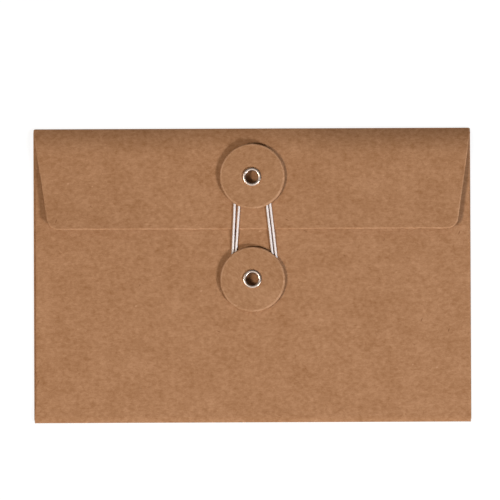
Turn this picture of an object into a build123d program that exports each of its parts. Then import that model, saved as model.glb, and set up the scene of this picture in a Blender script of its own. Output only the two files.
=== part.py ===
from build123d import *
import os
from collections import namedtuple
from itertools import pairwise
from math import acos, asin, atan2, cos, degrees, dist, hypot, pi, radians, sin, tan

# String tie envelope, closed, lying on its plain front with the flap on top.
# Millimetres. X runs along the width, +Y towards the fold of the flap, +Z up.
# The origin is the middle of the outline, on the surface that the envelope lies on.

# Envelope and its card
envelope_width = 168.0
envelope_height = 113.0
card = 0.4

# Pocket: front panel, two tabs folded in from it, and the back panel glued on the tabs
tab_gap = 0.4
glue_film = 0.1
tab_width = 14.0
tab_end_taper = 6.0
glue_margin = 2.0
corner_relief = 0.8
back_panel_inset = 0.35
mouth_drop = 4.5

# Flap, which slopes from its fold down to the back panel
flap_depth = 38.6
flap_root_inset = 0.2
flap_side_taper = 5.05
flap_corner_radius = 3.8
flap_edge_gap = 0.15

# Button discs, placed by the clear card between their rims and the flap's free edge
disc_diameter = 25.0
disc_thickness = 0.8
disc_edge_round = 0.12
upper_rim_margin = 7.6
lower_rim_margin = 6.9

# Eyelets that rivet the discs to the card
eyelet_bore = 4.8
eyelet_wall = 0.25
flange_diameter = 7.1
flange_height = 0.45
roll_diameter = 6.8
roll_height = 0.4
bead_shoulder = 0.12

# String: tied round the upper eyelet, then wound loosely round both buttons.
# The widths are from a button's centre line to the first lower turn on each side.
string_diameter = 0.85
string_turns = 2
turn_gap = 0.45
upper_left_extra_gap = 0.2
lower_left_width = 6.65
lower_right_width = 8.85
strand_bend_radius = 20.0
tail_angle = 120.0

# Clearances
eyelet_fit = 0.05
disc_running_fit = 0.06
disc_end_play = 0.05
string_clearance = 0.1
barrel_clearance = 0.05
roll_clearance = 0.3

# Stretches of string this many diameters apart along it are tested against each other
gap_reach = 6

# Heights of the layers, from the front panel up
tab_bottom = card + tab_gap
tab_top = tab_bottom + card
back_bottom = tab_top + glue_film
back_top = back_bottom + card

# Outline and fold radii, measured on the outside of each fold
half_width = envelope_width / 2
top_edge = envelope_height / 2
bottom_edge = -envelope_height / 2
side_fold_radius = tab_top / 2
bottom_fold_radius = back_top / 2
side_crease = half_width - side_fold_radius
bottom_crease = bottom_edge + bottom_fold_radius
back_half_width = half_width - back_panel_inset
mouth_edge = top_edge - mouth_drop

# Buttons in plan
disc_radius = disc_diameter / 2
flap_edge = top_edge - flap_depth
upper_button = flap_edge + upper_rim_margin + disc_radius
lower_button = flap_edge - lower_rim_margin - disc_radius

# Slope of the flap: its edge lies on the back panel, and the upper eyelet's roll clears it
roll_to_edge = upper_button - roll_diameter / 2 - flap_edge
flap_slope = degrees(asin((roll_height + roll_clearance - flap_edge_gap) / roll_to_edge))
slope_sin = sin(radians(flap_slope))
slope_cos = cos(radians(flap_slope))
slope_tan = tan(radians(flap_slope))

# The top fold is tangent to the front panel and to the sloping flap
edge_top = back_top + flap_edge_gap + card / slope_cos
flap_fold_radius = (edge_top + slope_tan * flap_depth) / (1 + 1 / slope_cos + slope_tan)
top_crease = top_edge - flap_fold_radius
flap_root_half = half_width - flap_root_inset

# Upper face of the flap: local y runs up the slope, and the origin is where the fold ends
flap_root = Vector(0, top_crease, flap_fold_radius) + flap_fold_radius * Vector(0, -slope_sin, slope_cos)
flap_face = Plane(origin=flap_root, x_dir=(1, 0, 0), z_dir=(0, -slope_sin, slope_cos))
flap_length = (flap_root.Y - flap_edge) / slope_cos
upper_button_run = (flap_root.Y - upper_button) / slope_cos

# Seats of the two buttons, on the upper face of the card that carries each
upper_seat = Plane(
    origin=flap_face.from_local_coords((0, -upper_button_run, 0)),
    x_dir=flap_face.x_dir,
    z_dir=flap_face.z_dir,
)
lower_seat = Plane(origin=(0, lower_button, back_top))

# Heights above a button's seat
string_height = string_clearance + string_diameter / 2
disc_bottom = string_diameter + 2 * string_clearance
flange_bottom = disc_bottom + disc_thickness + disc_end_play
flange_top = flange_bottom + flange_height
roll_top = -card
roll_bottom = roll_top - roll_height

# Radii of an eyelet, and of the holes that it passes through
bore_radius = eyelet_bore / 2
barrel_radius = bore_radius + eyelet_wall
flange_radius = flange_diameter / 2
roll_radius = roll_diameter / 2
panel_hole_radius = barrel_radius + eyelet_fit
disc_hole_radius = barrel_radius + disc_running_fit

SIDES = {"left": -1, "right": 1}
SEATS = {"upper": upper_seat, "lower": lower_seat}

os.makedirs("parts", exist_ok=True)


def save(piece, name):
    """Label a finished piece and write it under its node's name."""
    piece.part.label = name
    export_step(piece.part, f"parts/{name}.step")


# Front panel: the plain face of the envelope, between its four folds
with BuildPart() as front_panel:
    with BuildSketch():
        with Locations((0, (top_crease + bottom_crease) / 2)):
            Rectangle(2 * side_crease, top_crease - bottom_crease)
    extrude(amount=card)
save(front_panel, "front_panel")

# Back panel: folded up from the bottom edge, pierced for the lower eyelet
with BuildPart() as back_panel:
    with BuildSketch(Plane.XY.offset(back_bottom)):
        with Locations((0, (mouth_edge + bottom_crease) / 2)):
            Rectangle(2 * back_half_width, mouth_edge - bottom_crease)
        with Locations((0, lower_button)):
            Circle(panel_hole_radius, mode=Mode.SUBTRACT)
    extrude(amount=card)
save(back_panel, "back_panel")

# Bottom fold: half a tube between the front and back panels
with BuildPart() as bottom_fold:
    with BuildSketch(Plane.YZ):
        with BuildLine():
            CenterArc((bottom_crease, bottom_fold_radius), bottom_fold_radius, 90, 180)
            CenterArc((bottom_crease, bottom_fold_radius), bottom_fold_radius - card, 90, 180)
            Line((bottom_crease, back_bottom), (bottom_crease, back_top))
            Line((bottom_crease, 0), (bottom_crease, card))
        make_face()
    extrude(amount=back_half_width, both=True)
save(bottom_fold, "bottom_fold")

# Side folds, the tabs that they turn in, and the glue between the tabs and the back panel
tab_low = bottom_crease + corner_relief
tab_high = top_crease - corner_relief
tab_inner = half_width - tab_width
seam_low = tab_low + tab_end_taper + glue_margin
seam_high = min(tab_high - tab_end_taper, mouth_edge) - glue_margin
seam_inner = tab_inner + glue_margin
seam_outer = min(side_crease, back_half_width) - glue_margin

for side, sign in SIDES.items():
    crease = sign * side_crease
    with BuildPart() as side_fold:
        with BuildSketch(Plane.XZ.offset(-tab_low)):
            with BuildLine():
                CenterArc((crease, side_fold_radius), side_fold_radius, 90, -sign * 180)
                CenterArc((crease, side_fold_radius), side_fold_radius - card, 90, -sign * 180)
                Line((crease, 0), (crease, card))
                Line((crease, tab_bottom), (crease, tab_top))
            make_face()
        extrude(amount=tab_low - tab_high)
    save(side_fold, f"{side}_side_fold")

    with BuildPart() as glue_tab:
        with BuildSketch(Plane.XY.offset(tab_bottom)):
            with BuildLine():
                Polyline(
                    (crease, tab_low),
                    (sign * tab_inner, tab_low + tab_end_taper),
                    (sign * tab_inner, tab_high - tab_end_taper),
                    (crease, tab_high),
                    close=True,
                )
            make_face()
        extrude(amount=card)
    save(glue_tab, f"{side}_glue_tab")

    with BuildPart() as glue_seam:
        with BuildSketch(Plane.XY.offset(tab_top)):
            with Locations((sign * (seam_inner + seam_outer) / 2, (seam_low + seam_high) / 2)):
                Rectangle(seam_outer - seam_inner, seam_high - seam_low)
        extrude(amount=glue_film)
    save(glue_seam, f"{side}_glue_seam")

# Top fold: the crease that the flap turns on
with BuildPart() as flap_fold:
    with BuildSketch(Plane.YZ):
        with BuildLine():
            centre = (top_crease, flap_fold_radius)
            outside = CenterArc(centre, flap_fold_radius, -90, 180 + flap_slope)
            inside = CenterArc(centre, flap_fold_radius - card, -90, 180 + flap_slope)
            Line(outside @ 0, inside @ 0)
            Line(outside @ 1, inside @ 1)
        make_face()
    extrude(amount=flap_root_half, both=True)
save(flap_fold, "flap_fold")

# Flap: tapered sides and two rounded corners, pierced for the upper eyelet
with BuildPart() as flap:
    with BuildSketch(flap_face) as flap_outline:
        with BuildLine():
            Polyline(
                (-flap_root_half, 0),
                (flap_side_taper - flap_root_half, -flap_length),
                (flap_root_half - flap_side_taper, -flap_length),
                (flap_root_half, 0),
                close=True,
            )
        make_face()
        fillet(flap_outline.vertices().group_by(Axis.Y)[0], flap_corner_radius)
        with Locations((0, -upper_button_run)):
            Circle(panel_hole_radius, mode=Mode.SUBTRACT)
    extrude(amount=-card)
save(flap, "flap")

# Buttons: a card disc that turns on its eyelet, above a slot for the string
for place, seat in SEATS.items():
    with BuildPart() as disc:
        with BuildSketch(seat.offset(disc_bottom)):
            Circle(disc_radius)
            Circle(disc_hole_radius, mode=Mode.SUBTRACT)
        extrude(amount=disc_thickness)
        fillet(disc.edges().filter_by(GeomType.CIRCLE).sort_by(SortBy.RADIUS)[-2:], disc_edge_round)
    save(disc, f"{place}_disc")

    with BuildPart() as eyelet:
        with BuildSketch(Plane(origin=seat.origin, x_dir=seat.x_dir, z_dir=-seat.y_dir)):
            with BuildLine():
                Line((bore_radius, roll_top - bead_shoulder), (bore_radius, flange_bottom + bead_shoulder))
                ThreePointArc(
                    (bore_radius, flange_bottom + bead_shoulder),
                    ((bore_radius + flange_radius) / 2, flange_top),
                    (flange_radius, flange_bottom),
                )
                Polyline(
                    (flange_radius, flange_bottom),
                    (barrel_radius, flange_bottom),
                    (barrel_radius, roll_top),
                    (roll_radius, roll_top),
                )
                ThreePointArc(
                    (roll_radius, roll_top),
                    ((bore_radius + roll_radius) / 2, roll_bottom),
                    (bore_radius, roll_top - bead_shoulder),
                )
            make_face()
        revolve(axis=Axis(seat.origin, seat.z_dir))
    save(eyelet, f"{place}_eyelet")

# String layout, drawn flat: x across, run up from the upper button, all turns anticlockwise.
# It is then draped: level with the flap, down past the flap's edge, level with the back panel.
Turn = namedtuple("Turn", "x run radius")
upper_string = upper_seat.offset(string_height)
lower_string = lower_seat.offset(string_height)
tie_radius = barrel_radius + barrel_clearance + string_diameter / 2
turn_pitch = string_diameter + turn_gap
edge_run = upper_button_run - flap_length - string_diameter
edge_point = upper_string.from_local_coords((0, edge_run, 0))
rim_point = lower_string.from_local_coords((0, disc_radius, 0))
rim_run = edge_run - (edge_point - rim_point).length
lower_run = rim_run - disc_radius


def drape(x, run):
    """Place a point of the flat layout on the envelope."""
    if run >= edge_run:
        return upper_string.from_local_coords((x, run, 0))
    if run <= rim_run:
        return lower_string.from_local_coords((x, run - lower_run, 0))
    share = (edge_run - run) / (edge_run - rim_run)
    return edge_point + (rim_point - edge_point) * share + Vector(x, 0, 0)


def turn_point(turn, angle):
    """Point of a turn in the flat layout, at an angle in degrees from +X."""
    return (
        turn.x + turn.radius * cos(radians(angle)),
        turn.run + turn.radius * sin(radians(angle)),
    )


def upper_turn(count):
    """Turn round the upper eyelet, wider by one pitch at each count."""
    right = tie_radius + count * turn_pitch
    left = tie_radius + (count + 1) * (turn_pitch + upper_left_extra_gap)
    return Turn((right - left) / 2, 0, (right + left) / 2)


def lower_turn(count):
    """Turn round the lower eyelet, looser than the upper ones."""
    left = lower_left_width + count * turn_pitch
    right = lower_right_width + count * turn_pitch
    return Turn((right - left) / 2, lower_run, (right + left) / 2)


def join_angle(start, end):
    """Angle at which a straight strand leaves one turn and joins the next."""
    across = end.x - start.x
    along = end.run - start.run
    return degrees(atan2(along, across) - acos((start.radius - end.radius) / hypot(across, along)))


def strand_points(start, end, angle):
    """Corners of a strand between two turns: it bends at the flap's edge and the lower rim."""
    leave = turn_point(start, angle)
    join = turn_point(end, angle)
    flat = [leave]
    for crease_run in sorted((edge_run, rim_run), reverse=leave[1] > join[1]):
        share = (crease_run - leave[1]) / (join[1] - leave[1])
        flat.append((leave[0] + share * (join[0] - leave[0]), crease_run))
    flat.append(join)
    return [drape(*point) for point in flat]


def wind(turn, start, size):
    """Draw a turn as two arcs."""
    quarters = [drape(*turn_point(turn, start + size * part / 4)) for part in range(5)]
    ThreePointArc(*quarters[:3])
    ThreePointArc(*quarters[2:])


half_turn = 180
full_turn = 360
tie = Turn(0, 0, tie_radius)
turns = []
for count in range(string_turns):
    turns += [upper_turn(count), lower_turn(count)]
turns.append(upper_turn(string_turns))
joins = [join_angle(start, end) for start, end in pairwise(turns)]
tail = turn_point(turns[-1], tail_angle)
tail_end = (
    tail[0] - string_diameter * sin(radians(tail_angle)),
    tail[1] + string_diameter * cos(radians(tail_angle)),
)

# Tie string: one unbroken length
with BuildPart() as tie_string:
    with BuildLine() as route:
        lead = Line(drape(-tie_radius, string_diameter), drape(-tie_radius, 0))
        wind(tie, half_turn, half_turn)
        for turn, enter, leave in zip(turns, [0] + joins, joins + [tail_angle]):
            wind(turn, enter, (leave - enter) % full_turn)
        for start, end, angle in zip(turns, turns[1:], joins):
            FilletPolyline(*strand_points(start, end, angle), radius=strand_bend_radius)
        Line(drape(*tail), drape(*tail_end))
    with BuildSketch(Plane(origin=lead @ 0, z_dir=lead % 0)):
        Circle(string_diameter / 2)
    sweep()
save(tie_string, "tie_string")


def least_gap(line, diameter):
    """Least clear distance between stretches of a tube that lie apart along it."""
    steps_per_diameter = 2
    steps = int(line.length * steps_per_diameter / diameter)
    points = [tuple(line.position_at(step / steps)) for step in range(steps + 1)]
    apart = gap_reach * steps_per_diameter
    centre_distance = min(
        dist(points[one], points[other])
        for one in range(steps + 1)
        for other in range(one + apart, steps + 1)
    )
    return centre_distance - diameter


string_line = route.wires()[0]
plain_volume = pi * string_diameter**2 / 4 * string_line.length
string_radii = [tie_radius] + [turn.radius for turn in turns] + [strand_bend_radius]
print(f"string length {string_line.length:.1f} mm")
print(f"string volume over section times length {tie_string.part.volume / plain_volume:.4f}")
print(f"string least gap to itself {least_gap(string_line, string_diameter):.3f} mm")
print("string bend radii " + ", ".join(f"{radius:.2f}" for radius in string_radii) + " mm")
print(f"flap slope {flap_slope:.4f} degrees, hinge at y {top_crease:.4f} z {flap_fold_radius:.4f} mm")
for place, seat in SEATS.items():
    print(f"{place} button seat {tuple(seat.origin)} axis {tuple(seat.z_dir)}")
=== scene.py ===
"""String tie envelope: kraft card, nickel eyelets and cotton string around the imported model."""
from collections import namedtuple
from itertools import pairwise
from math import acos, atan, atan2, ceil, cos, hypot, pi, radians, sin, sqrt, tan

import bpy
import numpy as np
from mathutils import Matrix, Vector


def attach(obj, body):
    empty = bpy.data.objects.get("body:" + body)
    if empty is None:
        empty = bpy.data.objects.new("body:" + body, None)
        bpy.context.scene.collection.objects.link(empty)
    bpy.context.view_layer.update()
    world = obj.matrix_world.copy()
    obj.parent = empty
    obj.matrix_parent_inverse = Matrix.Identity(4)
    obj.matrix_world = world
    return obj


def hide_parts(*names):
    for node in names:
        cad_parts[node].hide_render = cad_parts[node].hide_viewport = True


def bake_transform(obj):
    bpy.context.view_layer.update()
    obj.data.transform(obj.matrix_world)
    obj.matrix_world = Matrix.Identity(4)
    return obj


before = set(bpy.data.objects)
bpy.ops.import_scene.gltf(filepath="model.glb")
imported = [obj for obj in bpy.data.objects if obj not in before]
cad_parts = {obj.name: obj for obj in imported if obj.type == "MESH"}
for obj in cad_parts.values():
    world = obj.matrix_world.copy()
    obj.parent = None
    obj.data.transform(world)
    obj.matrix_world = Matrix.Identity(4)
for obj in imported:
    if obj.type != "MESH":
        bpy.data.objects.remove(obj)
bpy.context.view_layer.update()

MM = 0.001

# Sizes of the solids, in millimetres
card = 0.4
top_edge = 56.5
side_fold_radius = 0.6
side_crease = 83.4
bottom_fold_radius = 0.85
bottom_crease = -55.65
back_top = 1.7
mouth_edge = 52.0
corner_relief = 0.8
tab_inner = 70.0
tab_end_taper = 6.0
flap_slope = radians(1.8873)
flap_fold_radius = 1.7321
top_crease = top_edge - flap_fold_radius
upper_button = 38.0
lower_button = -1.5
panel_hole_radius = 2.7
disc_radius = 12.5
disc_hole_radius = 2.71
bore_radius = 2.4
barrel_radius = 2.65
flange_radius = 3.55
roll_radius = 3.4
string_diameter = 0.85

# Cut edges of the card, which are at most a millimetre from those of the solids
back_half_width = 83.35
bottom_flare = 0.4
bottom_relief = 0.25
flap_root_half = 83.6
flap_fold_flare = 0.3
flap_side_taper = 5.55
flap_corner_radius = 4.5
flap_edge = 17.7

# Heights above a button's seat
string_height = 0.525
disc_bottom = 1.05
disc_top = 1.85
flange_bottom = 1.68
flange_height = 0.668
roll_top = -0.4
roll_height = 0.4

# Seats of the buttons on the card: a point, and the directions up the card and out of it
slope_tan = tan(flap_slope)
flap_root_y = top_crease - flap_fold_radius * sin(flap_slope)
flap_root_z = flap_fold_radius * (1 + cos(flap_slope))
upper_seat_z = flap_root_z - slope_tan * (flap_root_y - upper_button)
Seat = namedtuple("Seat", "origin along out")
upper_seat = Seat(
    Vector((0, upper_button, upper_seat_z)),
    Vector((0, cos(flap_slope), sin(flap_slope))),
    Vector((0, -sin(flap_slope), cos(flap_slope))),
)
lower_seat = Seat(Vector((0, lower_button, back_top)), Vector((0, 1, 0)), Vector((0, 0, 1)))

# Rim and middle of a speck, as shares of its cell
SPECK_RIM = 0.075
SPECK_MIDDLE = 0.045


class Shader:
    """A material's nodes, with short ways to add them."""

    def __init__(self, name, roughness, specular=0.3, metallic=0.0):
        self.material = bpy.data.materials.new(name)
        self.material.use_nodes = True
        self.tree = self.material.node_tree
        self.surface = self.tree.nodes["Principled BSDF"]
        self.surface.inputs["Roughness"].default_value = roughness
        self.surface.inputs["Specular IOR Level"].default_value = specular
        self.surface.inputs["Metallic"].default_value = metallic

    def add(self, kind, inputs, **settings):
        made = self.tree.nodes.new("ShaderNode" + kind)
        for key, value in settings.items():
            setattr(made, key, value)
        for key, value in inputs.items():
            self.feed(made.inputs[key], value)
        return made

    def feed(self, socket, value):
        if isinstance(value, bpy.types.NodeSocket):
            self.tree.links.new(value, socket)
        else:
            socket.default_value = value

    def scaled(self, place, factor):
        return self.add("VectorMath", {0: place, 3: factor}, operation="SCALE").outputs[0]

    def flat(self, layer):
        """Place on the developed sheet, in millimetres."""
        return self.scaled(self.add("UVMap", {}, uv_map=layer).outputs["UV"], 1 / MM)

    def math(self, operation, *values):
        return self.add("Math", dict(enumerate(values)), operation=operation).outputs[0]

    def cells(self, place, size, turn):
        """Place measured in cells of a size in millimetres, turned by an angle in degrees."""
        cell = {"Vector": place, "Rotation": (0, 0, radians(turn)), "Scale": (*size, 1)}
        return self.add("Mapping", cell, vector_type="TEXTURE").outputs[0]

    def noise(self, place, size, turn=0.0, detail=2.0, roughness=0.5, distortion=0.0):
        """Noise with features of a size in millimetres, turned by an angle in degrees."""
        grain = {
            "Vector": self.cells(place, size, turn),
            "Scale": 1.0,
            "Detail": detail,
            "Roughness": roughness,
            "Distortion": distortion,
        }
        return self.add("TexNoise", grain).outputs[0]

    def specks(self, place, size, turn, part):
        """Small spots in the middle of a part of the cells, drawn out as the cells are."""
        cells = self.add("TexVoronoi", {"Vector": self.cells(place, size, turn), "Scale": 1.0})
        chance = self.add("SeparateColor", {0: cells.outputs["Color"]}).outputs[0]
        spot = self.span(cells.outputs["Distance"], SPECK_RIM, SPECK_MIDDLE)
        return self.math("MULTIPLY", spot, self.math("LESS_THAN", chance, part))

    def span(self, value, low, high, start=0.0, end=1.0):
        """Smooth step from start to end while a value goes from low to high."""
        limits = {"Value": value, "From Min": low, "From Max": high, "To Min": start, "To Max": end}
        return self.add("MapRange", limits, interpolation_type="SMOOTHSTEP").outputs[0]

    def mix(self, share, first, second):
        """Colour between two, or past them where the share is past 0 or 1."""
        colours = {0: share, 6: first, 7: second}
        return self.add("Mix", colours, data_type="RGBA", clamp_factor=False).outputs[2]

    def colour(self, value):
        self.feed(self.surface.inputs["Base Color"], value)

    def rough(self, value):
        self.feed(self.surface.inputs["Roughness"], value)

    def bump(self, height, distance, strength):
        """Relief of a height in millimetres."""
        relief = {"Height": height, "Distance": distance * MM, "Strength": strength}
        self.feed(self.surface.inputs["Normal"], self.add("Bump", relief).outputs[0])


def shade(colour, factor):
    return tuple(min(1.0, factor * part) for part in colour[:3]) + (1.0,)


# Tones of kraft, as factors of its middle tone, and how far its pale fibres and specks show
PULP_POWERS = (0.74, 1.0, 1.42)
DARK_PULP = 0.78
LIGHT_PULP = 1.22
PALE_FIBRE = 1.45
FIBRE_SHARE = 0.30
SPECK_SHARE = 0.8


def pulp_colour(base, factor):
    """Kraft made lighter or darker: darker pulp is also deeper in colour."""
    return tuple(part * factor**power for part, power in zip(base, PULP_POWERS)) + (1.0,)


def kraft(name, base, fibre_turn=0.0, fray=0.0):
    """Unbleached kraft: mottled pulp, short fibres mostly one way, rare specks and dark shives."""
    shader = Shader(name, roughness=0.82, specular=0.2)
    place = shader.flat("card")
    cloud = shader.noise(place, (19.0, 13.0))
    drift = shader.noise(place, (7.0, 5.5), fibre_turn)
    mottle = shader.noise(place, (1.9, 1.6), fibre_turn, detail=3.0, roughness=0.6, distortion=0.4)
    grain = shader.noise(place, (0.42, 0.36), roughness=0.6)
    along = shader.noise(place, (1.7, 0.55), fibre_turn + 3, roughness=0.55, distortion=0.7)
    slanting = shader.noise(place, (1.7, 0.27), fibre_turn - 31, detail=1.0, distortion=0.8)
    crossing = shader.noise(place, (1.6, 0.27), fibre_turn + 42, detail=1.0, distortion=0.8)
    layers = ((cloud, 0.72), (drift, 0.84), (mottle, 2.12), (grain, 1.0), (along, 1.08))
    tone = 0.5 - sum(weight for layer, weight in layers) / 2
    for layer, weight in layers:
        tone = shader.math("MULTIPLY_ADD", layer, weight, tone)
    colour = shader.mix(tone, pulp_colour(base, DARK_PULP), pulp_colour(base, LIGHT_PULP))
    first = shader.span(slanting, 0.62, 0.76)
    second = shader.span(crossing, 0.64, 0.78)
    pale = shader.math("MAXIMUM", first, second)
    showing = shader.math("MULTIPLY", pale, FIBRE_SHARE + fray)
    colour = shader.mix(showing, colour, pulp_colour(base, PALE_FIBRE))
    # Size of the cells, their turn, the part of them that has a speck, and its tone
    specks = (
        ((7.0, 7.0), 0.0, 0.18, 0.28),
        ((12.0, 2.4), 70.0, 0.09, 0.30),
        ((14.0, 2.2), -25.0, 0.09, 0.34),
        ((8.0, 5.0), 30.0, 0.14, 1.52),
    )
    for size, turn, part, factor in specks:
        speck = shader.specks(place, size, fibre_turn + turn, part)
        showing = shader.math("MULTIPLY", speck, SPECK_SHARE)
        colour = shader.mix(showing, colour, pulp_colour(base, factor))
    shader.colour(colour)
    shader.rough(shader.span(mottle, 0.3, 0.7, start=0.76, end=0.90))
    relief = shader.math("MULTIPLY_ADD", along, 0.5, shader.math("MULTIPLY", mottle, 0.5))
    relief = shader.math("MULTIPLY_ADD", pale, 0.3, relief)
    shader.bump(relief, distance=0.035, strength=0.5)
    return shader.material


def nickel(name, base):
    """Plated eyelet: satin nickel with fine turning marks and a little tarnish."""
    shader = Shader(name, roughness=0.24, metallic=1.0)
    place = shader.flat("turned")
    marks = shader.noise(place, (3.0, 0.06), roughness=0.6)
    tarnish = shader.noise(place, (1.3, 0.7), detail=3.0, roughness=0.6, distortion=0.5)
    stain = shader.span(tarnish, 0.52, 0.74, end=0.5)
    shader.colour(shader.mix(stain, shade(base, 1.06), shade(base, 0.72)))
    polish = shader.math("MULTIPLY_ADD", marks, 0.18, 0.09)
    shader.rough(shader.math("MULTIPLY_ADD", tarnish, 0.22, polish))
    shader.bump(marks, distance=0.004, strength=0.5)
    return shader.material


def cotton(name, base):
    """Loosely twisted white cotton: fibres that follow the twist, and a soft fuzz."""
    shader = Shader(name, roughness=0.93, specular=0.15)
    place = shader.flat("strand")
    fibres = shader.noise(place, (0.9, 0.05), turn=24.0, roughness=0.6, distortion=0.4)
    fuzz = shader.noise(place, (0.12, 0.10), roughness=0.6)
    soil = shader.noise(place, (14.0, 9.0))
    tone = shader.math("MULTIPLY_ADD", fibres, 0.6, shader.math("MULTIPLY", soil, 0.4))
    shader.colour(shader.mix(shader.span(tone, 0.3, 0.7), shade(base, 0.92), shade(base, 1.04)))
    shader.surface.inputs["Sheen Weight"].default_value = 0.25
    shader.surface.inputs["Sheen Roughness"].default_value = 0.6
    shader.rough(shader.span(fuzz, 0.3, 0.7, start=0.86, end=0.98))
    relief = shader.math("MULTIPLY_ADD", fuzz, 0.4, fibres)
    shader.bump(relief, distance=0.05, strength=0.7)
    return shader.material


def glue(name, base):
    """Dried paste between card and card, with dragged streaks."""
    shader = Shader(name, roughness=0.5, specular=0.4)
    place = shader.scaled(shader.add("TexCoord", {}).outputs["Object"], 1 / MM)
    drag = shader.noise(place, (0.9, 8.0), detail=3.0, roughness=0.6, distortion=0.6)
    shader.colour(shader.mix(shader.span(drag, 0.35, 0.65), shade(base, 0.85), shade(base, 1.12)))
    shader.rough(shader.span(drag, 0.3, 0.7, start=0.35, end=0.65))
    shader.bump(drag, distance=0.03, strength=0.6)
    return shader.material


CARD_COLOUR = (0.388, 0.192, 0.090)
BOARD_COLOUR = (0.385, 0.194, 0.092)
# The card's cut edges are lighter: partly paler cut fibres, partly a painted highlight along the
# edge.
CUT_PALE_AND_HIGHLIGHT = 1.13
# The discs' crushed rim is lighter all round: a painted highlight.
RIM_HIGHLIGHT = 1.22
# The upper disc's board is a little darker than the lower's: painted shade.
UPPER_SHADE = 0.97
UPPER_FIBRES = 17.0
LOWER_FIBRES = -38.0
FRAY = 0.2
card_cut_highlight_colour = pulp_colour(CARD_COLOUR, CUT_PALE_AND_HIGHLIGHT)[:3]
board_rim_highlight_colour = pulp_colour(BOARD_COLOUR, RIM_HIGHLIGHT)[:3]
upper_board_shade_colour = pulp_colour(BOARD_COLOUR, UPPER_SHADE)[:3]
card_face = kraft("kraft_card_face", CARD_COLOUR)
cut_and_highlight_card = kraft("kraft_card_cut_painted_highlight", card_cut_highlight_colour, fray=FRAY)
upper_board_shaded = kraft("kraft_board_upper_painted_shade", upper_board_shade_colour, UPPER_FIBRES)
lower_board = kraft("kraft_board_lower", BOARD_COLOUR, LOWER_FIBRES)
board_cut = kraft("kraft_board_cut", BOARD_COLOUR, fray=FRAY)
board_rim_highlight = kraft("kraft_board_rim_painted_highlight", board_rim_highlight_colour, fray=FRAY)
plating = nickel("eyelet_nickel_plate", (0.62, 0.50, 0.42))
# Dark plating for the bore's inner wall: painted shade inside the bore.
bore_shade_plating = nickel("eyelet_nickel_painted_bore_shade", (0.20, 0.16, 0.13))
string_cotton = cotton("cotton_twist", (0.95, 0.86, 0.82))
paste = glue("paper_paste", (0.72, 0.66, 0.52))


def make_object(name, points, faces, materials, indices, layer, places, sharp):
    """Mesh from points in millimetres, with one texture place for each corner of each face."""
    mesh = bpy.data.meshes.new(name)
    mesh.from_pydata((np.asarray(points) * MM).tolist(), [], faces)
    for material in materials:
        mesh.materials.append(material)
    mesh.polygons.foreach_set("material_index", indices)
    mesh.polygons.foreach_set("use_smooth", [True] * len(faces))
    uv = mesh.uv_layers.new(name=layer)
    uv.data.foreach_set("uv", (np.asarray(places, float) * MM).ravel())
    mesh.set_sharp_from_angle(angle=radians(sharp))
    mesh.update()
    made = bpy.data.objects.new(name, mesh)
    bpy.context.scene.collection.objects.link(made)
    return made


# Card sheets. A grid of developed places, in millimetres, is folded into shape and given thickness.
NUDGE = 0.005
CRUSH_WIDTH = 0.5
CRUSH_DEPTH = 0.26
INSIDE_SHIFT = 311.0
CARD_SHARP = 13


def card_sheet(name, u, v, place, index, cells, seam):
    """Closed sheet. place gives its outer face; cut edges are crushed, and seam nodes are not."""
    base = place(u, v)
    across = place(u + NUDGE, v) - place(u - NUDGE, v)
    along = place(u, v + NUDGE) - place(u, v - NUDGE)
    out = np.cross(across, along)
    out /= np.linalg.norm(out, axis=-1, keepdims=True)
    quads = []
    for row, column in np.argwhere(cells):
        quads.append((
            index[row, column],
            index[row, column + 1],
            index[row + 1, column + 1],
            index[row + 1, column],
        ))
    rim = {}
    for quad in quads:
        for edge in zip(quad, quad[1:] + quad[:1]):
            if edge[::-1] in rim:
                del rim[edge[::-1]]
            else:
                rim[edge] = True
    seam = seam.ravel()
    depth = np.zeros(u.size)
    for first, last in rim:
        if not (seam[first] and seam[last]):
            depth[[first, last]] = CRUSH_DEPTH
    base = base.reshape(-1, 3)
    out = out.reshape(-1, 3)
    used = np.unique(np.array(quads))
    order = {node: count for count, node in enumerate(used)}
    inside = len(used)
    points = np.vstack([base - out * depth[:, None], base - out * card])
    points = np.vstack([points[used], points[u.size + used]])
    flat = np.stack([u.ravel(), v.ravel()], axis=1)
    faces = []
    places = []
    indices = []
    for quad in quads:
        faces.append([order[node] for node in quad])
        places += [flat[node] for node in quad]
        faces.append([inside + order[node] for node in quad[::-1]])
        places += [flat[node] + INSIDE_SHIFT for node in quad[::-1]]
        # Faces at a crushed border, and the cut walls below, take the lighter cut kraft: paler
        # fibres and a painted highlight.
        indices += [int(depth[list(quad)].max() > 0), 0]
    for first, last in rim:
        faces.append([order[last], order[first], inside + order[first], inside + order[last]])
        places += [flat[last], flat[first], flat[first] + card, flat[last] + card]
        indices.append(0 if seam[first] and seam[last] else 1)
    cards = [card_face, cut_and_highlight_card]
    return make_object(name, points, faces, cards, indices, "card", places, CARD_SHARP)


HOLE_NODES = 3
EASE_NODES = 6
HOLE_SPACING = 1.5
HOLE_REACH = EASE_NODES * HOLE_SPACING


def open_hole(u, v, cells, row, column, centre):
    """Open a round hole in a square block of the grid, and ease the nodes around it."""
    for down in range(-EASE_NODES, EASE_NODES + 1):
        for right in range(-EASE_NODES, EASE_NODES + 1):
            ring = max(abs(down), abs(right))
            if ring < HOLE_NODES:
                continue
            angle = atan2(down, right)
            node = (row + down, column + right)
            share = (ring - HOLE_NODES) / (EASE_NODES - HOLE_NODES)
            round_u = centre[0] + panel_hole_radius * cos(angle)
            round_v = centre[1] + panel_hole_radius * sin(angle)
            u[node] = round_u + share * (u[node] - round_u)
            v[node] = round_v + share * (v[node] - round_v)
    high = slice(row - HOLE_NODES, row + HOLE_NODES)
    wide = slice(column - HOLE_NODES, column + HOLE_NODES)
    cells[high, wide] = False


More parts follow.
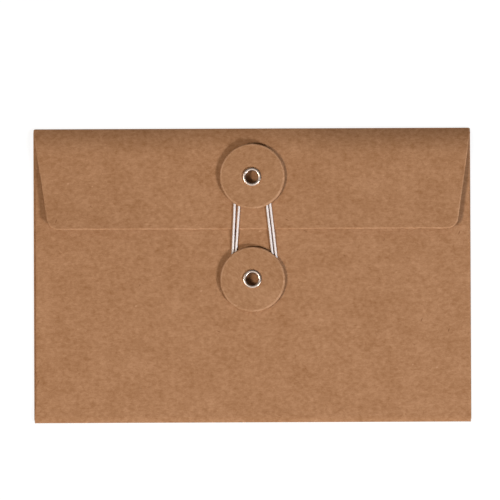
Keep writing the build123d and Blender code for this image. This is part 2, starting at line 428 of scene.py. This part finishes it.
def chain(*stretches):
    """Join stretches of grid lines, each given as start, end and number of steps."""
    lines = [np.linspace(start, end, steps + 1) for start, end, steps in stretches]
    return np.concatenate([lines[0]] + [line[1:] for line in lines[1:]])


def ease(value):
    """Smooth step from 0 to 1."""
    value = np.clip(value, 0, 1)
    return value * value * (3 - 2 * value)


def walked(*line):
    """Distance along a line that is given by its coordinates."""
    return np.concatenate([[0], np.cumsum(np.linalg.norm(np.diff(line), axis=0))])


FOLD_STEPS = 400


# Front of the pocket with the side folds and glue tabs, seen from outside, so u runs towards -X.
# It ends at the flap's crease, which is sharper than the solid's round fold.
crease_radius = 0.5
crease_line = top_edge - crease_radius
tab_low = bottom_crease + bottom_relief
tab_high = crease_line - corner_relief
side_arc = pi * side_fold_radius
tab_run = side_crease - tab_inner


def place_front(u, v):
    past = np.abs(u) - side_crease
    turn = np.clip(past, 0, side_arc) / side_fold_radius
    reach = np.minimum(np.abs(u), side_crease) + side_fold_radius * np.sin(turn)
    reach = reach - np.maximum(past - side_arc, 0)
    height = side_fold_radius * (1 - np.cos(turn))
    return np.stack([-np.sign(u) * reach, v, height], axis=-1)


def make_front():
    right = chain((0, side_crease, 28), (side_crease, side_crease + side_arc, 16),
                  (side_crease + side_arc, side_crease + side_arc + tab_run, 5))
    columns = np.concatenate([-right[:0:-1], right])
    rows = np.concatenate([[bottom_crease], np.linspace(tab_low, tab_high, 37), [crease_line]])
    u, v = np.meshgrid(columns, rows)
    on_tab = np.clip((np.abs(u) - side_crease - side_arc) / tab_run, 0, 1)
    middle = (tab_low + tab_high) / 2
    half = (tab_high - tab_low) / 2
    v = np.where(on_tab > 0, middle + (v - middle) * (1 - on_tab * tab_end_taper / half), v)
    cells = np.ones((len(rows) - 1, len(columns) - 1), bool)
    folded = np.abs(columns[:-1] + columns[1:]) / 2 > side_crease
    cells[0, folded] = False
    cells[-1, folded] = False
    index = np.arange(u.size).reshape(u.shape)
    return card_sheet("pocket_front", u, v, place_front, index, cells, np.ones(u.shape, bool))


# Back of the pocket with the bottom fold; v starts where the front panel ends.
# The upper half of the fold is a quarter of an ellipse, which runs out slowly into the panel.
bottom_reach = 3.0
under_turns = np.linspace(0, pi / 2, FOLD_STEPS)
over_turns = np.linspace(pi / 2, pi, FOLD_STEPS)[1:]
bottom_edge = bottom_crease - bottom_fold_radius
bottom_y = np.concatenate([
    bottom_crease - bottom_fold_radius * np.sin(under_turns),
    bottom_edge + bottom_reach * (1 - np.sin(over_turns)),
])
bottom_z = bottom_fold_radius * (1 - np.cos(np.concatenate([under_turns, over_turns])))
bottom_v = walked(bottom_y, bottom_z)
bottom_arc = bottom_v[-1]
panel_start = bottom_edge + bottom_reach


EDGE_DROP = 0.12
BACK_SHIFT = 0.25
FLARE_RUN = 5.0
HELD_HALF = 15.0
WAVE_HEIGHT = 0.05
BUTTON_CLEAR = 20.0
FLAP_CLEAR = 12.0
FLAP_CLEAR_RUN = 14.0
FOLD_CLEAR_RUN = 12.0


def back_waves(x, y):
    """Slight unevenness of the back panel, none at its button or fold or under the flap."""
    clear = 1 - np.exp(-((x / BUTTON_CLEAR) ** 2 + ((y - lower_button) / BUTTON_CLEAR) ** 2))
    clear = clear * ease((FLAP_CLEAR - y) / FLAP_CLEAR_RUN)
    clear = clear * ease((y - panel_start) / FOLD_CLEAR_RUN)
    straight = np.sin(x / 23 + 0.6) * np.cos(y / 19 + 0.4)
    slanting = 0.6 * np.sin(x / 13 - y / 17 + 2.1)
    return WAVE_HEIGHT * clear * (straight + slanting)


def place_back(u, v):
    past = np.maximum(v - bottom_arc, 0)
    y = np.interp(v, bottom_v, bottom_y) + past
    z = np.interp(v, bottom_v, bottom_z) + back_waves(u, y) * (past > 0)
    z = z - EDGE_DROP * np.clip((np.abs(u) - back_half_width) / CRUSH_WIDTH + 1, 0, 1) * (past > 0)
    x = u + BACK_SHIFT * ease(np.abs(u) / HELD_HALF) * ease(past / FLARE_RUN)
    flare = bottom_flare * (1 - ease(past / FLARE_RUN))
    x = x * (1 + flare / back_half_width)
    return np.stack([x, y, z], axis=-1)


def make_back():
    right = chain((0, HOLE_REACH, EASE_NODES), (HOLE_REACH, back_half_width - CRUSH_WIDTH, 28),
                  (back_half_width - CRUSH_WIDTH, back_half_width, 1))
    columns = np.concatenate([-right[:0:-1], right])
    hole = bottom_arc + lower_button - panel_start
    mouth = bottom_arc + mouth_edge - panel_start
    rows = chain((0, bottom_arc, 18), (bottom_arc, hole - HOLE_REACH, 18),
                 (hole - HOLE_REACH, hole + HOLE_REACH, 2 * EASE_NODES),
                 (hole + HOLE_REACH, mouth - CRUSH_WIDTH, 18), (mouth - CRUSH_WIDTH, mouth, 1))
    u, v = np.meshgrid(columns, rows)
    cells = np.ones((len(rows) - 1, len(columns) - 1), bool)
    row = int(np.argmin(np.abs(rows - hole)))
    open_hole(u, v, cells, row, len(right) - 1, (0, hole))
    index = np.arange(u.size).reshape(u.shape)
    seam = np.zeros(u.shape, bool)
    seam[0] = True
    seam[:, [0, -1]] = True
    around = slice(row - HOLE_NODES, row + HOLE_NODES + 1)
    seam[around, len(right) - 1 - HOLE_NODES:len(right) + HOLE_NODES] = True
    return card_sheet("pocket_back", u, v, place_back, index, cells, seam)


# Flap with its fold, seen from outside, so u runs towards -X; v starts where the front panel ends.
# From the crease the card springs up and bends over in one arc, which meets the flap's slope.
spring_angle = radians(27)
crease_turn = pi - spring_angle
arc_turn = pi + flap_slope
arc_start_y = crease_line + crease_radius * sin(crease_turn)
arc_start_z = crease_radius * (1 - cos(crease_turn))
arc_rise = flap_root_z - slope_tan * (flap_root_y - arc_start_y) - arc_start_z
arc_height = cos(crease_turn) - cos(arc_turn)
arc_reach = sin(arc_turn) - sin(crease_turn)
arc_radius = arc_rise / (arc_height - slope_tan * arc_reach)

crease_turns = np.linspace(0, crease_turn, FOLD_STEPS)
arc_turns = np.linspace(crease_turn, arc_turn, 2 * FOLD_STEPS)[1:]
profile_y = np.concatenate([
    crease_line + crease_radius * np.sin(crease_turns),
    arc_start_y + arc_radius * (np.sin(arc_turns) - sin(crease_turn)),
    [flap_edge],
])
profile_z = np.concatenate([
    crease_radius * (1 - np.cos(crease_turns)),
    arc_start_z + arc_radius * (cos(crease_turn) - np.cos(arc_turns)),
    [flap_root_z - slope_tan * (flap_root_y - flap_edge)],
])
profile_v = walked(profile_y, profile_z)
arc_end_y = profile_y[-2]
crease_v = profile_v[FOLD_STEPS - 1]
flap_end_v = profile_v[-1]
taper_v = np.interp(-flap_root_y, -profile_y[FOLD_STEPS:], profile_v[FOLD_STEPS:])
flap_length = flap_end_v - taper_v
flap_hole = flap_end_v - (upper_button - flap_edge) / cos(flap_slope) - taper_v

# The tied middle holds the flap down. Both halves swell, and the left corner springs up.
LEFT_LIFT = 2.98
LEFT_SWELL = 1.0
RIGHT_LIFT = 2.95
RIGHT_SWELL = 2.0
SWELL_RUN = 16.0
BESIDE_START = 11.0
BESIDE_RUN = 26.0
SPREAD_SOFT = 0.1
PAST_EDGE = 1.02
WAVE_RUN = 20.0
FLAP_SHIFT = 0.2


def flap_lift(x, y, v):
    """Height of the two halves above the flap's slope."""
    down = np.clip((arc_end_y - y) / (arc_end_y - flap_edge), 0, PAST_EDGE)
    out = np.clip((np.abs(x) - HELD_HALF) / (flap_root_half - HELD_HALF), 0, 1)
    spread = 1 - (1 - (1 + SPREAD_SOFT) * out**2 / (out + SPREAD_SOFT)) ** 2
    swell = 1 - (1 - np.clip((v - crease_v) / SWELL_RUN, 0, 1)) ** 2
    beside = ease((np.abs(x) - BESIDE_START) / BESIDE_RUN)
    left = beside * LEFT_SWELL * swell + (LEFT_LIFT - LEFT_SWELL) * spread * down**2
    right = beside * (RIGHT_SWELL * swell + (RIGHT_LIFT - RIGHT_SWELL) * down**2)
    waves = WAVE_HEIGHT * np.sin(x / 11 + 0.8) * ease((np.abs(x) - HELD_HALF) / WAVE_RUN) * down
    return np.where(x < 0, left, right) + waves


def place_flap(u, v):
    y = np.interp(v, profile_v, profile_y)
    z = np.interp(v, profile_v, profile_z)
    beyond = np.maximum(v - flap_end_v, 0)
    x = FLAP_SHIFT * ease((v - crease_v) / flap_length) * ease(np.abs(u) / HELD_HALF) - u
    y = y - beyond
    return np.stack([x, y, z + flap_lift(x, y, v)], axis=-1)


def make_flap():
    taper = atan(flap_side_taper / flap_length)
    arc_steps = 4
    above_hole = 14
    radius = flap_corner_radius - CRUSH_WIDTH
    centre_run = flap_length - flap_corner_radius
    edge_half = flap_root_half - flap_side_taper * centre_run / flap_length
    centre_half = edge_half - flap_corner_radius / cos(taper)
    middle = (taper + pi / 2) / 2
    inset_root = flap_root_half - CRUSH_WIDTH / cos(taper)

    # Lower boundary of the right half, from the middle to the corner, with the way out of each node
    corner = np.linspace(pi / 2, middle, arc_steps + 1)[1:]
    straight = chain((0, HOLE_REACH, EASE_NODES), (HOLE_REACH, centre_half, 26))
    low_half = np.concatenate([straight, centre_half + radius * np.cos(corner)])
    low_run = np.concatenate([
        np.full(len(straight), flap_length - CRUSH_WIDTH), centre_run + radius * np.sin(corner)
    ])
    low_way = np.concatenate([np.full(len(straight), pi / 2), corner])

    # Side boundary, from the crease to the corner
    squeeze = low_run[-1] / low_run[0]
    tangent = (centre_run + radius * sin(taper)) / squeeze
    runs = chain((0, flap_hole - HOLE_REACH, above_hole),
                 (flap_hole - HOLE_REACH, flap_hole + HOLE_REACH, 2 * EASE_NODES),
                 (flap_hole + HOLE_REACH, tangent, 4))
    side = np.linspace(taper, middle, arc_steps + 1)[1:]
    fold_rows = chain((0, crease_v, 18), (crease_v, taper_v, 3))[:-1]
    on_flap = runs * squeeze
    flare = flap_fold_flare * (1 - ease(on_flap / FLARE_RUN))
    side_run = np.concatenate([fold_rows - taper_v, on_flap, centre_run + radius * np.sin(side)])
    side_half = np.concatenate([
        np.full(len(fold_rows), inset_root + flap_fold_flare),
        inset_root - flap_side_taper * on_flap / flap_length + flare,
        centre_half + radius * np.cos(side),
    ])
    side_way = np.concatenate([np.zeros(len(fold_rows)), np.full(len(runs), taper), side])

    # Nodes of the right half, the crushed border last
    rows = len(side_run) + 1
    half = np.zeros((rows, len(low_half) + 1))
    run = np.zeros(half.shape)
    spread = (low_half - HOLE_REACH) / (low_half[-1] - HOLE_REACH)
    for row in range(rows - 1):
        wide = HOLE_REACH + spread * (side_half[row] - HOLE_REACH)
        half[row, :-1] = np.where(low_half <= HOLE_REACH, low_half, wide)
        run[row, :-1] = side_run[row] * np.where(side_run[row] > 0, low_run / low_run[-1], 1)
        half[row, -1] = side_half[row] + CRUSH_WIDTH * cos(side_way[row])
        run[row, -1] = side_run[row] + CRUSH_WIDTH * sin(side_way[row])
    half[-1, :-1] = low_half + CRUSH_WIDTH * np.cos(low_way)
    run[-1, :-1] = low_run + CRUSH_WIDTH * np.sin(low_way)
    half[-1, -1] = half[-2, -1]
    run[-1, -1] = run[-2, -1]

    u = np.concatenate([-half[:, :0:-1], half], axis=1)
    v = np.concatenate([run[:, :0:-1], run], axis=1) + taper_v
    index = np.arange(u.size).reshape(u.shape)
    cells = np.ones((u.shape[0] - 1, u.shape[1] - 1), bool)
    for column, beside in ((0, 1), (-1, -2)):
        index[-1, beside] = index[-2, column]
        cells[-1, column] = False
    hole_row = len(fold_rows) + above_hole + EASE_NODES
    hole_column = half.shape[1] - 1
    open_hole(u, v, cells, hole_row, hole_column, (0, flap_hole + taper_v))
    seam = np.zeros(u.shape, bool)
    seam[0] = True
    around = slice(hole_row - HOLE_NODES, hole_row + HOLE_NODES + 1)
    seam[around, hole_column - HOLE_NODES:hole_column + HOLE_NODES + 1] = True
    return card_sheet("flap_card", u, v, place_flap, index, cells, seam)


pocket_front = make_front()
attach(pocket_front, "pocket")
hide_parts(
    "front_panel",
    "left_side_fold",
    "right_side_fold",
    "left_glue_tab",
    "right_glue_tab",
)

pocket_back = make_back()
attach(pocket_back, "pocket")
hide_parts("back_panel", "bottom_fold")

flap_card = make_flap()
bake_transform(flap_card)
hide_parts("flap", "flap_fold")


# Buttons and eyelets: closed outlines of radius and height, turned about the seat
TURN_STEPS = 96
ROUND_SHARP = 35


def turned(name, seat, outline, centres, materials, indices, layer, shape=None):
    """Solid of revolution on a seat. centres gives the middle of the ring that each point of the
    outline makes, and indices the material of each of its stretches."""
    count = len(outline)
    points = []
    for step in range(TURN_STEPS):
        angle = 2 * pi * step / TURN_STEPS
        for (radius, height), (x, y) in zip(outline, centres):
            lifted = height + (shape(radius, angle) if shape else 0)
            points.append((x + radius * cos(angle), y + radius * sin(angle), lifted))
    lengths = walked(*np.transpose(outline))
    faces = []
    places = []
    slots = []
    for step in range(TURN_STEPS):
        after = (step + 1) % TURN_STEPS
        for place in range(count):
            following = (place + 1) % count
            nodes = [(step, place), (after, place), (after, following), (step, following)]
            faces.append([ring * count + node for ring, node in nodes])
            slots.append(indices[place])
            for (ring, node), turn in zip(nodes, (step, step + 1, step + 1, step)):
                if layer == "turned":
                    places.append((turn / TURN_STEPS * 2 * pi * flange_radius, lengths[node]))
                else:
                    x, y, z = points[ring * count + node]
                    drop = disc_top - z
                    places.append((x * (1 + drop / disc_radius), y * (1 + drop / disc_radius)))
    basis = Matrix((Vector((1, 0, 0)), seat.along, seat.out)).transposed()
    world = [basis @ Vector(point) + seat.origin for point in points]
    return make_object(name, world, faces, materials, slots, layer, places, ROUND_SHARP)


DISC_SHIFT = 0.1
DISC_WARP = 0.05
FACE_RADII = (11.6, 10.4, 8.8, 7.2, 5.8, 4.8, 4.2, 3.7, 3.2)
RIM_STEPS = 5

# Stretches of the disc's outline that are its cut edge and its crushed rim; the rim is painted
# lighter, a painted highlight
EDGE_STRETCHES = slice(2, 10)
RIM_STRETCHES = slice(10, 13)


def disc_outline():
    """Disc with a crushed upper rim, two plies in its edge and a dip under the eyelet's flange."""
    upper_round = 0.8
    upper_drop = 0.45
    lower_round = 0.14
    bevel_in = 0.04
    bevel_up = 0.06
    groove_depth = 0.05
    groove_half = 0.06
    groove_drop = 0.1
    dish_depth = 0.34
    dish_width = 1.35
    under_radius = 6.0
    groove = (disc_bottom + disc_top) / 2 - groove_drop
    outline = [
        (disc_hole_radius, disc_bottom),
        (under_radius, disc_bottom),
        (disc_radius - lower_round, disc_bottom),
        (disc_radius - bevel_in, disc_bottom + bevel_up),
        (disc_radius, disc_bottom + lower_round),
        (disc_radius, groove - groove_half),
        (disc_radius - groove_depth, groove),
        (disc_radius, groove + groove_half),
    ]
    for step in range(RIM_STEPS + 1):
        angle = radians(90 * step / RIM_STEPS)
        outline.append((
            disc_radius - upper_round * (1 - cos(angle)),
            disc_top - upper_drop * (1 - sin(angle)),
        ))
    for radius in FACE_RADII:
        away = (radius - disc_hole_radius) / dish_width
        outline.append((radius, disc_top - dish_depth * np.exp(-(away**2))))
    outline.append((disc_hole_radius, disc_top - dish_depth))
    return outline


def disc_warp(tilt):
    """Height that a disc's slight warp adds, as a function of radius and angle."""
    def warp(radius, angle):
        return DISC_WARP * (radius / disc_radius) ** 2 * cos(2 * angle + tilt)
    return warp


def make_disc(name, seat, board, tilt):
    outline = disc_outline()
    indices = [0] * len(outline)
    indices[EDGE_STRETCHES] = [1] * len(indices[EDGE_STRETCHES])
    # The crushed rim takes the lighter rim board: a painted highlight.
    indices[RIM_STRETCHES] = [2] * len(indices[RIM_STRETCHES])
    boards = [board, board_cut, board_rim_highlight]
    centres = [(DISC_SHIFT * (radius / disc_radius) ** 2, 0) for radius, height in outline]
    return turned(name, seat, outline, centres, boards, indices, "card", disc_warp(tilt))


BEAD_STEPS = 16
BEAD_POWER = 0.62
ROLL_POWER = 0.9


def eyelet_outline():
    """Full bead above, with steep sides, plain barrel, rolled foot below."""
    outline = []
    bead_middle = (bore_radius + flange_radius) / 2
    bead_half = (flange_radius - bore_radius) / 2
    for step in range(BEAD_STEPS + 1):
        angle = pi * step / BEAD_STEPS
        reach = np.sign(cos(angle)) * abs(cos(angle)) ** BEAD_POWER
        rise = abs(sin(angle)) ** BEAD_POWER
        outline.append((bead_middle + bead_half * reach, flange_bottom + flange_height * rise))
    roll_middle = (bore_radius + roll_radius) / 2
    roll_half = (roll_radius - bore_radius) / 2
    for step in range(BEAD_STEPS + 1):
        angle = pi * step / BEAD_STEPS
        fall = sin(angle) ** ROLL_POWER
        outline.append((roll_middle - roll_half * cos(angle), roll_top - roll_height * fall))
    outline += [(barrel_radius, roll_top), (barrel_radius, flange_bottom)]
    return outline


def make_eyelet(name, seat, shift):
    """Eyelet whose bead is off the middle of its barrel by a shift up the card."""
    outline = eyelet_outline()
    bead = BEAD_STEPS + 1
    centres = [(0, shift)] * bead + [(0, 0)] * (len(outline) - bead)
    indices = [0] * len(outline)
    # The bore's inner wall takes the dark plating: painted shade.
    indices[BEAD_STEPS] = 1
    return turned(name, seat, outline, centres, [plating, bore_shade_plating], indices, "turned")


# Name, seat, board, turn of the warp, body that carries the eyelet, and shift of its bead
buttons = (
    ("upper", upper_seat, upper_board_shaded, 0.7, "flap", -0.15),
    ("lower", lower_seat, lower_board, 2.4, "pocket", 0.19),
)
for side, seat, board, tilt, carrier, bead_shift in buttons:
    disc = make_disc(f"{side}_button", seat, board, tilt)
    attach(disc, f"{side}_disc")
    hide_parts(f"{side}_disc")
    eyelet = make_eyelet(f"{side}_eyelet_rolled", seat, bead_shift)
    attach(eyelet, carrier)
    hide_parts(f"{side}_eyelet")


# String: the turns and strands of the solid, as one smooth line through their corners.
# Flat layout: x across, run up from the upper button; all turns go anticlockwise.
Turn = namedtuple("Turn", "x run radius")
tie_radius = 3.125
turn_pitch = 1.3
upper_left = (4.1, 6.125, 7.625)
lower_left = (7.0, 7.95)
lower_right = 8.85
tail_angle = radians(120)
TURN_POINTS = 14

edge_run = (flap_edge - upper_button) / cos(flap_slope) - string_diameter
upper_line = upper_seat.origin + upper_seat.out * string_height
lower_line = lower_seat.origin + lower_seat.out * string_height
edge_point = upper_line + upper_seat.along * edge_run
rim_point = lower_line + lower_seat.along * disc_radius
rim_run = edge_run - (edge_point - rim_point).length
lower_run = rim_run - disc_radius


def drape(x, run):
    """Place a point of the flat layout on the envelope, in millimetres."""
    if run >= edge_run:
        return upper_line + upper_seat.along * run + Vector((x, 0, 0))
    if run <= rim_run:
        return lower_line + lower_seat.along * (run - lower_run) + Vector((x, 0, 0))
    share = (edge_run - run) / (edge_run - rim_run)
    return edge_point.lerp(rim_point, share) + Vector((x, 0, 0))


def upper_turn(count):
    right = tie_radius + count * turn_pitch
    left = upper_left[count]
    return Turn((right - left) / 2, 0, (right + left) / 2)


def lower_turn(count):
    left = lower_left[count]
    right = lower_right + count * turn_pitch
    return Turn((right - left) / 2, lower_run, (right + left) / 2)


def join_angle(start, end):
    """Angle at which a straight strand leaves one turn and joins the next."""
    across = end.x - start.x
    along = end.run - start.run
    return atan2(along, across) - acos((start.radius - end.radius) / hypot(across, along))


def turn_corners(turn, enter, leave):
    """Corners of a turn, the outline of straight lines that touch it, and their spacing."""
    size = (leave - enter) % (2 * pi)
    steps = ceil(size / (2 * pi) * TURN_POINTS)
    step = size / steps
    reach = turn.radius / cos(step / 2)
    angles = [enter + step * (count + 0.5) for count in range(steps)]
    corners = [(turn.x + reach * cos(angle), turn.run + reach * sin(angle)) for angle in angles]
    return corners, 2 * turn.radius * tan(step / 2)


def on_strand(start, end, run):
    share = (run - start[1]) / (end[1] - start[1])
    return (start[0] + share * (end[0] - start[0]), run)


def toward(start, end, distance):
    share = distance / hypot(end[0] - start[0], end[1] - start[1])
    return (start[0] + share * (end[0] - start[0]), start[1] + share * (end[1] - start[1]))


def string_corners():
    turns = [upper_turn(0), lower_turn(0), upper_turn(1), lower_turn(1), upper_turn(2)]
    joins = [join_angle(start, end) for start, end in pairwise(turns)]
    lead = turn_corners(Turn(0, 0, tie_radius), pi, 2 * pi)[0]
    flat = [(-tie_radius, string_diameter), *lead]
    before = None
    for turn, enter, leave in zip(turns, [0] + joins, joins + [tail_angle]):
        corners, spacing = turn_corners(turn, enter, leave)
        if before:
            last, last_spacing = before
            flat.append(toward(last, corners[0], last_spacing))
            for run in sorted((edge_run, rim_run), reverse=last[1] > corners[0][1]):
                flat.append(on_strand(last, corners[0], run))
            flat.append(toward(corners[0], last, spacing))
        flat += corners
        before = (corners[-1], spacing)
    tail = turns[-1]
    end = (tail.x + tail.radius * cos(tail_angle), tail.run + tail.radius * sin(tail_angle))
    tail_way = (-sin(tail_angle), cos(tail_angle))
    flat.append((end[0] + string_diameter * tail_way[0], end[1] + string_diameter * tail_way[1]))
    return [drape(*point) for point in flat]


def smooth_line(corners):
    """Points read from the smooth line that has these corners, in millimetres."""
    curve = bpy.data.curves.new("string_line", "CURVE")
    curve.dimensions = "3D"
    spline = curve.splines.new("NURBS")
    spline.points.add(len(corners) - 1)
    for point, corner in zip(spline.points, corners):
        point.co = (*(corner * MM), 1)
    spline.order_u = 3
    spline.use_endpoint_u = True
    spline.resolution_u = 24
    holder = bpy.data.objects.new("string_line", curve)
    bpy.context.scene.collection.objects.link(holder)
    bpy.context.view_layer.update()
    mesh = bpy.data.meshes.new_from_object(holder)
    line = np.array([vertex.co[:] for vertex in mesh.vertices]) / MM
    bpy.data.objects.remove(holder)
    bpy.data.curves.remove(curve)
    bpy.data.meshes.remove(mesh)
    return line


PLIES = 3
PLY_NODES = 6
PLY_OFFSET = 0.26
PLY_SIZE = 0.80
TWIST_PITCH = 3.4
ALONG_STEP = 0.21
SAME_PLACE = 1e-6
CAP_STEP = 0.1
STRING_SHARP = 60


def ply_radius(angle):
    """Outline of three plies laid together, at an angle round the string."""
    offset = PLY_OFFSET * string_diameter / 2
    ply = PLY_SIZE * string_diameter / 2
    lobe = 2 * pi / PLIES
    away = (angle + lobe / 2) % lobe - lobe / 2
    return offset * cos(away) + sqrt(ply**2 - (offset * sin(away)) ** 2)


def make_string():
    """Twisted plies along the smooth line, and the points that they follow."""
    line = smooth_line(string_corners())
    steps = np.linalg.norm(np.diff(line, axis=0), axis=1)
    line = line[np.concatenate([[True], steps > SAME_PLACE])]
    passed = walked(*line.T)
    count = int(passed[-1] / ALONG_STEP)
    at = np.linspace(0, passed[-1], count + 1)
    route = np.stack([np.interp(at, passed, line[:, axis]) for axis in range(3)], axis=1)
    ways = np.gradient(route, axis=0)
    ways /= np.linalg.norm(ways, axis=1, keepdims=True)
    side = np.array([0.0, 0.0, 1.0])
    around = PLIES * PLY_NODES
    girth = pi * string_diameter / around
    angles = [2 * pi * node / around for node in range(around)]
    radii = [ply_radius(angle) for angle in angles]
    points = []
    for place, way, distance in zip(route, ways, at):
        side = side - way * side.dot(way)
        side /= np.linalg.norm(side)
        other = np.cross(way, side)
        twist = 2 * pi * distance / TWIST_PITCH
        for angle, radius in zip(angles, radii):
            points.append(place + radius * (cos(angle + twist) * side + sin(angle + twist) * other))
    faces = []
    places = []
    for step in range(count):
        for node in range(around):
            after = (node + 1) % around
            faces.append([
                step * around + node,
                step * around + after,
                (step + 1) * around + after,
                (step + 1) * around + node,
            ])
            corners = ((step, node), (step, node + 1), (step + 1, node + 1), (step + 1, node))
            places += [(at[along], turn * girth) for along, turn in corners]
    for ring, order in ((0, -1), (count, 1)):
        faces.append([ring * around + node for node in range(around)][::order])
        places += [(at[ring], node * CAP_STEP) for node in range(around)]
    slots = [0] * len(faces)
    made = make_object(
        "wound_string", points, faces, [string_cotton], slots, "strand", places, STRING_SHARP
    )
    return made, route


wound_string, string_route = make_string()
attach(wound_string, "flap")
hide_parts("tie_string")

for side in ("left", "right"):
    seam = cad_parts[f"{side}_glue_seam"]
    seam.data.materials.clear()
    seam.data.materials.append(paste)


# Floor: white to the camera and in reflections, with part of its own shading left for the shadow
FLOOR_WHITE = 1.08
FLOOR_SHARE = 0.8
FLOOR_HALF = 3.0
FLOOR_HEIGHT = -0.00005


def make_floor():
    shader = Shader("studio_floor", roughness=0.9, specular=0.0)
    shader.surface.inputs["Base Color"].default_value = (0.9, 0.9, 0.9, 1)
    rays = shader.add("LightPath", {}).outputs
    seen = shader.math("MAXIMUM", rays["Is Camera Ray"], rays["Is Glossy Ray"])
    seen = shader.math("MAXIMUM", seen, rays["Is Transmission Ray"])
    white = shader.add("Emission", {"Color": (1, 1, 1, 1), "Strength": FLOOR_WHITE})
    share = shader.math("MULTIPLY", seen, FLOOR_SHARE)
    blend = shader.add("MixShader", {0: share, 1: shader.surface.outputs[0], 2: white.outputs[0]})
    output = shader.tree.nodes["Material Output"]
    shader.feed(output.inputs["Surface"], blend.outputs[0])
    corners = []
    for x, y in ((-1, -1), (1, -1), (1, 1), (-1, 1)):
        corners.append((x * FLOOR_HALF, y * FLOOR_HALF, FLOOR_HEIGHT))
    mesh = bpy.data.meshes.new("floor")
    mesh.from_pydata(corners, [], [(0, 1, 2, 3)])
    mesh.materials.append(shader.material)
    made = bpy.data.objects.new("floor", mesh)
    bpy.context.scene.collection.objects.link(made)


class WorldShader(Shader):
    """The studio's nodes, with the same short ways to add them."""

    def __init__(self, name):
        self.world = bpy.data.worlds.new(name)
        self.world.use_nodes = True
        self.tree = self.world.node_tree


NEAR_SIDE = (-0.40, -0.80, 0.45)
FAR_LEVEL = 0.03


def make_world(colour, fill):
    """Even fill light. The camera sees white, and metal sees white that darkens to the far side."""
    shader = WorldShader("studio")
    rays = shader.add("LightPath", {}).outputs
    mirrored = shader.math("MAXIMUM", rays["Is Glossy Ray"], rays["Is Transmission Ray"])
    seen = shader.math("MAXIMUM", rays["Is Camera Ray"], mirrored)
    way = shader.add("TexCoord", {}).outputs["Generated"]
    ways = {0: way, 1: NEAR_SIDE}
    facing = shader.add("VectorMath", ways, operation="DOT_PRODUCT").outputs["Value"]
    mirror_level = shader.span(facing, 0.10, 0.85, start=FAR_LEVEL)
    level = shader.math("MAXIMUM", rays["Is Camera Ray"], mirror_level)
    even = shader.add("Background", {"Color": (*colour, 1), "Strength": fill})
    white = shader.add("Background", {"Color": (1, 1, 1, 1), "Strength": level})
    blend = shader.add("MixShader", {0: seen, 1: even.outputs[0], 2: white.outputs[0]})
    shader.feed(shader.tree.nodes["World Output"].inputs["Surface"], blend.outputs[0])
    bpy.context.scene.world = shader.world


def make_lamp(name, colour, azimuth, elevation, distance, size, level):
    """Soft lamp that lights a level surface to a share of its written colour."""
    lamp = bpy.data.lights.new(name, "AREA")
    lamp.shape = "DISK"
    lamp.color = colour
    lamp.size = size
    lamp.energy = level * pi**2 * distance**2 / sin(radians(elevation))
    holder = bpy.data.objects.new(name, lamp)
    bpy.context.scene.collection.objects.link(holder)
    away = Vector((
        cos(radians(elevation)) * cos(radians(azimuth)),
        cos(radians(elevation)) * sin(radians(azimuth)),
        sin(radians(elevation)),
    ))
    holder.location = away * distance
    holder.rotation_euler = away.to_track_quat("Z", "Y").to_euler()


make_floor()
make_world((1.06, 0.94, 0.73), fill=0.10)
make_lamp(
    "key",
    (0.98, 1.03, 1.12),
    azimuth=-41,
    elevation=37.3,
    distance=1.15,
    size=0.28,
    level=0.47,
)
make_lamp(
    "side",
    (1.03, 0.96, 0.88),
    azimuth=200,
    elevation=57,
    distance=1.20,
    size=0.26,
    level=0.43,
)

# Camera: almost straight down, placed by the outline's four corners and the two buttons
camera_data = bpy.data.cameras.new("camera")
camera_data.lens = 131
camera_data.sensor_width = 36
camera_data.clip_start = 0.01
camera_data.clip_end = 10
camera = bpy.data.objects.new("camera", camera_data)
camera.location = (-1.163 * MM, 6.557 * MM, 700.284 * MM)
camera.rotation_euler = (radians(0.2629), radians(-0.0256), radians(-0.2346))
bpy.context.scene.collection.objects.link(camera)
bpy.context.scene.camera = camera

bpy.context.scene.view_settings.view_transform = "Standard"
